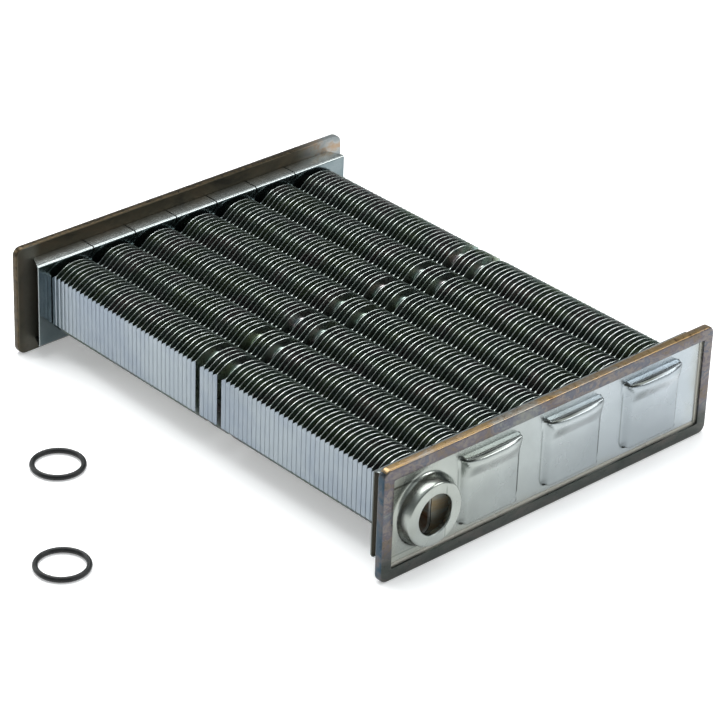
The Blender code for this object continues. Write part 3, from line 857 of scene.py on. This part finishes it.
def lobed_edge(lobe, outer_z):
    """(y, z) from -Y to +Y along one edge of a fin, with the outer flanks running into the tabs."""
    side_y = FIN_HALF_WIDTH - TAB_BEND
    points = []
    for number, centre in enumerate(TUBE_YS):
        for side in (-1, 1):
            half = [(centre + side * s, z) for s, z in lobe]
            outer = (side < 0 and number == 0) or (side > 0 and number == TUBE_COUNT - 1)
            if outer:
                crest = lobe[0][1]
                valley = lobe[-1][1]
                lean = (outer_z - valley) / (crest - valley)
                half = [(y, z + (crest - z) * lean) for y, z in half[:-1]]
                half.append((side * side_y, outer_z))
            half = half[::-1] if side < 0 else half[1:]
            if not outer and side > 0:
                half = half[:-1]
            points += half
    return points


class PaintedSolid(Solid):
    """A solid whose faces are given looks as they are made."""

    def __init__(self):
        super().__init__()
        self.looks = []

    def paint(self, look):
        """Gives one look to every face made since the last call."""
        self.looks += [look] * (len(self.faces) - len(self.looks))


def unit(vectors):
    return vectors / np.linalg.norm(vectors, axis=1)[:, None]


def drawn_in(points, depth, fixed):
    """An outline moved inwards, except at its fixed corners."""
    ahead = np.roll(points, -1, axis=0) - points
    behind = points - np.roll(points, 1, axis=0)
    tangent = unit(unit(ahead) + unit(behind))
    moved = points + np.stack([-tangent[:, 1], tangent[:, 0]], 1) * depth
    moved[fixed] = points[fixed]
    return moved


def add_sheet(made):
    """Chamfered edges of the fin's sheet; gives its four outlines and the numbers of its corners."""
    bottom = lobed_edge(LOW_LOBE, WALL_LOW_Z)
    top = lobed_edge(TOP_LOBE, WALL_HIGH_Z)
    outline = np.array(bottom + top[::-1])
    count = len(outline)
    right = (len(bottom) - 1, len(bottom))
    left = (0, count - 1)
    inner = drawn_in(outline, FIN_CHAMFER, [*right, *left])
    half = FIN_THICKNESS / 2
    sections = ((inner, half), (outline, half - FIN_CHAMFER), (outline, FIN_CHAMFER - half), (inner, -half))
    sheet = [made.loop(at_x(points.tolist(), x)) for points, x in sections]
    for first, second in zip(sheet, sheet[1:]):
        for i in range(count):
            if i not in (right[0], left[1]):
                j = (i + 1) % count
                made.faces.append((first[i], first[j], second[j], second[i]))
    made.paint(EDGE_LOOK)
    return sheet, right, left


def add_faces(made, front, back):
    """Both faces of the fin, with a collar round each tube on the front one."""
    half = FIN_THICKNESS / 2
    rings = [tube_loops(made, half + x, grow, FIN_HOLE_STEPS) for x, grow in COLLAR]
    rings.append(tube_loops(made, -half, HOLE_PLAY, FIN_HOLE_STEPS))
    for ring, following in zip(rings, rings[1:]):
        for first, second in zip(ring, following):
            made.bridge(first, second)
    made.fill(front, rings[0])
    made.fill(back, rings[-1])
    made.paint(FACE_LOOK)


def add_tab(made, sheet, side, low, high):
    """Side tab: a quarter bend and a flat strip one pitch long, from the sheet's two corners there."""
    front, front_edge, back_edge, back = sheet
    bend_x = FIN_THICKNESS / 2 - TAB_BEND
    end_x = FIN_THICKNESS / 2 - FIN_PITCH + TAB_CLEARANCE
    rows = []
    for depth, face in ((0.0, front), (FIN_THICKNESS, back)):
        path = arc((bend_x, FIN_HALF_WIDTH - TAB_BEND), TAB_BEND - depth, 0, 90, TAB_STEPS)
        path.append((end_x, FIN_HALF_WIDTH - depth - TAB_TUCK))
        lows = [face[low]]
        highs = [face[high]]
        for x, y in path[1:]:
            fall = WALL_DROP * max(0.0, bend_x - x) / (bend_x - end_x)
            lows += made.loop([(x, side * y, WALL_LOW_Z)])
            highs += made.loop([(x, side * y, WALL_HIGH_Z - fall)])
        rows.append((lows, highs))
    (out_low, out_high), (in_low, in_high) = rows
    made.strip(out_low, out_high)
    made.paint(TAB_LOOK)
    made.strip(in_low, in_high)
    made.paint(FACE_LOOK)
    for outer, inner, corner in ((out_low, in_low, low), (out_high, in_high, high)):
        made.strip(outer[1:], inner[1:])
        made.faces.append((outer[0], outer[1], inner[1], inner[0], back_edge[corner], front_edge[corner]))
    made.faces.append((out_low[-1], out_high[-1], in_high[-1], in_low[-1]))
    made.paint(EDGE_LOOK)


def add_tongues(made):
    """Small tongues bent over in the upper valleys."""
    for low_y, high_y in zip(TUBE_YS, TUBE_YS[1:]):
        middle = (low_y + high_y) / 2
        rows = []
        for out, z, half in TONGUE:
            x = out - FIN_THICKNESS / 2
            top = [(x, middle - half, z + TONGUE_DISH), (x, middle, z), (x, middle + half, z + TONGUE_DISH)]
            bottom = [(x, y, z - TONGUE_SHEET) for x, y, z in reversed(top)]
            rows.append(made.loop(top + bottom))
        for row, following in zip(rows, rows[1:]):
            made.bridge(row, following)
        made.faces += [tuple(rows[0]), tuple(rows[-1])]
    made.paint(EDGE_LOOK)


def single_fin():
    """One fin standing at x = 0, its tabs bent towards -X."""
    made = PaintedSolid()
    sheet, right, left = add_sheet(made)
    add_faces(made, sheet[0], sheet[-1])
    add_tab(made, sheet, 1, *right)
    add_tab(made, sheet, -1, *left)
    add_tongues(made)
    return made


def fin_packs():
    """Name and fin positions of each pack, split where the row of fins is interrupted."""
    first_gap, second_gap = FIN_GAPS
    groups = {"rear": range(0, first_gap), "centre": range(first_gap + 1, second_gap),
              "front": range(second_gap + 1, FIN_PLACES)}
    packs = []
    for group, places in groups.items():
        for number, start in enumerate(range(0, len(places), FINS_PER_PACK), 1):
            members = places[start:start + FINS_PER_PACK]
            xs = [FIN_PITCH * (place - (FIN_PLACES - 1) / 2) for place in members]
            packs.append((group if group == "centre" else f"{group}_{number}", xs))
    return packs


LEAN_FROM_Z = 46.0
LEAN_REACH_Z = 9.0
LEAN_EDGE_Y = 8.0                           # the lean fades out towards the tabs
FIN_LEAN = 0.10
LOBE_LEAN = 0.13
MOST_LEAN = 0.35


def leaned(points, rng):
    """A fin with its lobes slightly out of true; the tabs stay where they are."""
    moved = points.copy()
    y, z = points[:, 1], points[:, 2]
    from_tab = FIN_HALF_WIDTH - np.abs(y)
    reach = np.clip((z - LEAN_FROM_Z) / LEAN_REACH_Z, 0, 1) * np.clip(from_tab / LEAN_EDGE_Y, 0, 1)
    whole = rng.normal(0, FIN_LEAN)
    for centre in TUBE_YS:
        near = np.clip(1 - np.abs(y - centre) / (TUBE_PITCH / 2), 0, 1)
        moved[:, 0] += reach * near * np.clip(whole + rng.normal(0, LOBE_LEAN), -MOST_LEAN, MOST_LEAN)
    return moved


def add_fins(looks):
    fin = single_fin()
    points = np.array(fin.verts)
    rng = np.random.default_rng(SEED)
    for name, xs in fin_packs():
        verts = []
        faces = []
        for number, x in enumerate(xs):
            verts.append(leaned(points, rng) + (x, 0, 0))
            shift = number * len(points)
            faces += [tuple(i + shift for i in face) for face in fin.faces]
        add_piece(f"fins_{name}", np.concatenate(verts), faces, looks, [f"fin_pack_{name}"],
                  sharp=40, face_looks=fin.looks * len(xs))


RING_TURNS = 96
RING_PARTS = 24
RING_BEAD = 0.04


def o_ring(centre):
    """Round seal with the faint parting line of its mould."""
    made = Solid()
    middle = (RING_HOLE + RING_CORD) / 2
    loops = []
    for turn in range(RING_TURNS):
        angle = 2 * math.pi * turn / RING_TURNS
        loop = []
        for part in range(RING_PARTS):
            around = 2 * math.pi * part / RING_PARTS
            radius = RING_CORD / 2 - (0.0 if part in (0, RING_PARTS // 2) else RING_BEAD)
            reach = middle + radius * math.cos(around)
            height = RING_CORD / 2 * (1 + math.sin(around))
            loop.append((centre[0] + reach * math.cos(angle), centre[1] + reach * math.sin(angle), height))
        loops.append(made.loop(loop))
    for i, loop in enumerate(loops):
        made.bridge(loop, loops[(i + 1) % RING_TURNS])
    return made


# ---------------------------------------------------------------- assembly

# Node, builder, slot and sharp angle of each header piece
HEADER_PIECES = (
    ("tube_plate", tube_plate, "tinted_steel", 40),
    ("cover", cover, "cover_steel", 55),
    ("end_tray", end_tray, "tray_steel", 35),
)


def add_headers(looks):
    for name, build, slot, sharp in HEADER_PIECES:
        made = build()
        for end, verts in (("front", made.verts), ("rear", turned(made.verts))):
            node = f"{end}_{name}"
            add_piece(f"{node}_sheet", verts, made.faces, [looks[slot]], [node], sharp=sharp)


def add_tubes(look):
    for number, y in enumerate(TUBE_YS, 1):
        made = tube(y)
        add_piece(f"tube_{number}_drawn", made.verts, made.faces, [look], [f"tube_{number}"])


def add_rings(look):
    for node in ("o_ring_1", "o_ring_2"):
        low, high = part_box(node)
        made = o_ring([(low[axis] + high[axis]) / 2 / MM for axis in (0, 1)])
        add_piece(f"{node}_moulded", made.verts, made.faces, [look], [node],
                  body=node, sharp=80)


FLOOR_SIZE = 6.0                            # metres, like everything below
FLOOR_DROP = 0.0002
# Height above the horizon, as a share, and brightness of the studio there
SKY = ((0.0, 0.65), (0.22, 0.45), (0.42, 0.26), (0.62, 0.28), (0.74, 0.42), (0.86, 0.78), (1.0, 0.88))
SKY_TINT = (0.92, 0.98, 1.0)
AIM = (0, 0, 0.03)
# Name, place, aim, width, height and power
LIGHTS = (
    ("top_softbox", (-0.35, 0.15, 1.5), (0, 0, 0), 1.5, 1.2, 22),
    ("key_softbox", (-0.95, 0.2, 1.15), AIM, 0.55, 0.4, 6),
    ("right_softbox", (1.1, 1.1, 1.1), AIM, 0.8, 0.6, 11),
    ("left_softbox", (-1.35, -0.75, 0.6), AIM, 0.6, 0.5, 6),
)
CAMERA_AZIMUTH = 46.883                     # degrees
CAMERA_ELEVATION = 29.606
CAMERA_ROLL = 2.0895
CAMERA_LENS = 157.38
CAMERA_BACK = 26.5226                       # in header heights
CAMERA_RIGHT = 0.0686
CAMERA_UP = 0.2384


def add_stage():
    mesh = bpy.data.meshes.new("studio_floor")
    corners = [(x, y, -FLOOR_DROP) for x, y in ((-FLOOR_SIZE, -FLOOR_SIZE), (FLOOR_SIZE, -FLOOR_SIZE),
                                                (FLOOR_SIZE, FLOOR_SIZE), (-FLOOR_SIZE, FLOOR_SIZE))]
    mesh.from_pydata(corners, [], [(0, 1, 2, 3)])
    mesh.materials.append(floor_look())
    floor = bpy.data.objects.new("studio_floor", mesh)
    bpy.context.scene.collection.objects.link(floor)


def add_light(name, place, aim, width, height, power):
    light = bpy.data.lights.new(name, "AREA")
    light.shape = "RECTANGLE"
    light.size = width
    light.size_y = height
    light.energy = power
    lamp = bpy.data.objects.new(name, light)
    lamp.location = place
    direction = Vector(aim) - Vector(place)
    lamp.rotation_euler = direction.to_track_quat("-Z", "Y").to_euler()
    bpy.context.scene.collection.objects.link(lamp)


def add_sky():
    """Studio dome whose brightness changes with the height above the horizon."""
    world = bpy.data.worlds.new("studio")
    world.use_nodes = True
    tree = world.node_tree
    split = tree.nodes.new("ShaderNodeSeparateXYZ")
    tree.links.new(tree.nodes.new("ShaderNodeTexCoord").outputs["Generated"], split.inputs[0])
    dome = tree.nodes.new("ShaderNodeValToRGB")
    tree.links.new(split.outputs["Z"], dome.inputs[0])
    marks = dome.color_ramp.elements
    while len(marks) < len(SKY):
        marks.new(1.0)
    for mark, (height, level) in zip(marks, SKY):
        mark.position = height
        mark.color = (*(level * tint for tint in SKY_TINT), 1.0)
    background = tree.nodes["Background"]
    tree.links.new(dome.outputs["Color"], background.inputs["Color"])
    background.inputs["Strength"].default_value = 1.0
    bpy.context.scene.world = world


def add_camera():
    azimuth = math.radians(CAMERA_AZIMUTH)
    elevation = math.radians(CAMERA_ELEVATION)
    roll = math.radians(CAMERA_ROLL)
    back = Vector((math.sin(azimuth) * math.cos(elevation), -math.cos(azimuth) * math.cos(elevation),
                   math.sin(elevation)))
    level = Vector((math.cos(azimuth), math.sin(azimuth), 0))
    upright = back.cross(level)
    right = level * math.cos(roll) + upright * math.sin(roll)
    up = upright * math.cos(roll) - level * math.sin(roll)
    camera = bpy.data.cameras.new("camera")
    camera.sensor_width = 36.0
    camera.lens = CAMERA_LENS
    camera.clip_end = 20.0
    seen = bpy.data.objects.new("camera", camera)
    turn = Matrix((right, up, back)).transposed().to_4x4()
    turn.translation = (back * CAMERA_BACK + right * CAMERA_RIGHT + up * CAMERA_UP) * (HEADER_HEIGHT * MM)
    seen.matrix_world = turn
    bpy.context.scene.collection.objects.link(seen)
    bpy.context.scene.camera = seen


def main():
    looks = {
        "cover_steel": cover_look(),
        "tinted_steel": rim_look(),
        "tray_steel": tray_look(),
    }
    add_camera()
    add_stage()
    add_sky()
    for light in LIGHTS:
        add_light(*light)
    add_headers(looks)
    add_tubes(tube_look())
    add_fins([fin_look(), edge_look(), tab_look()])
    add_rings(rubber_look())
    bpy.context.scene.view_settings.view_transform = "Standard"


main()
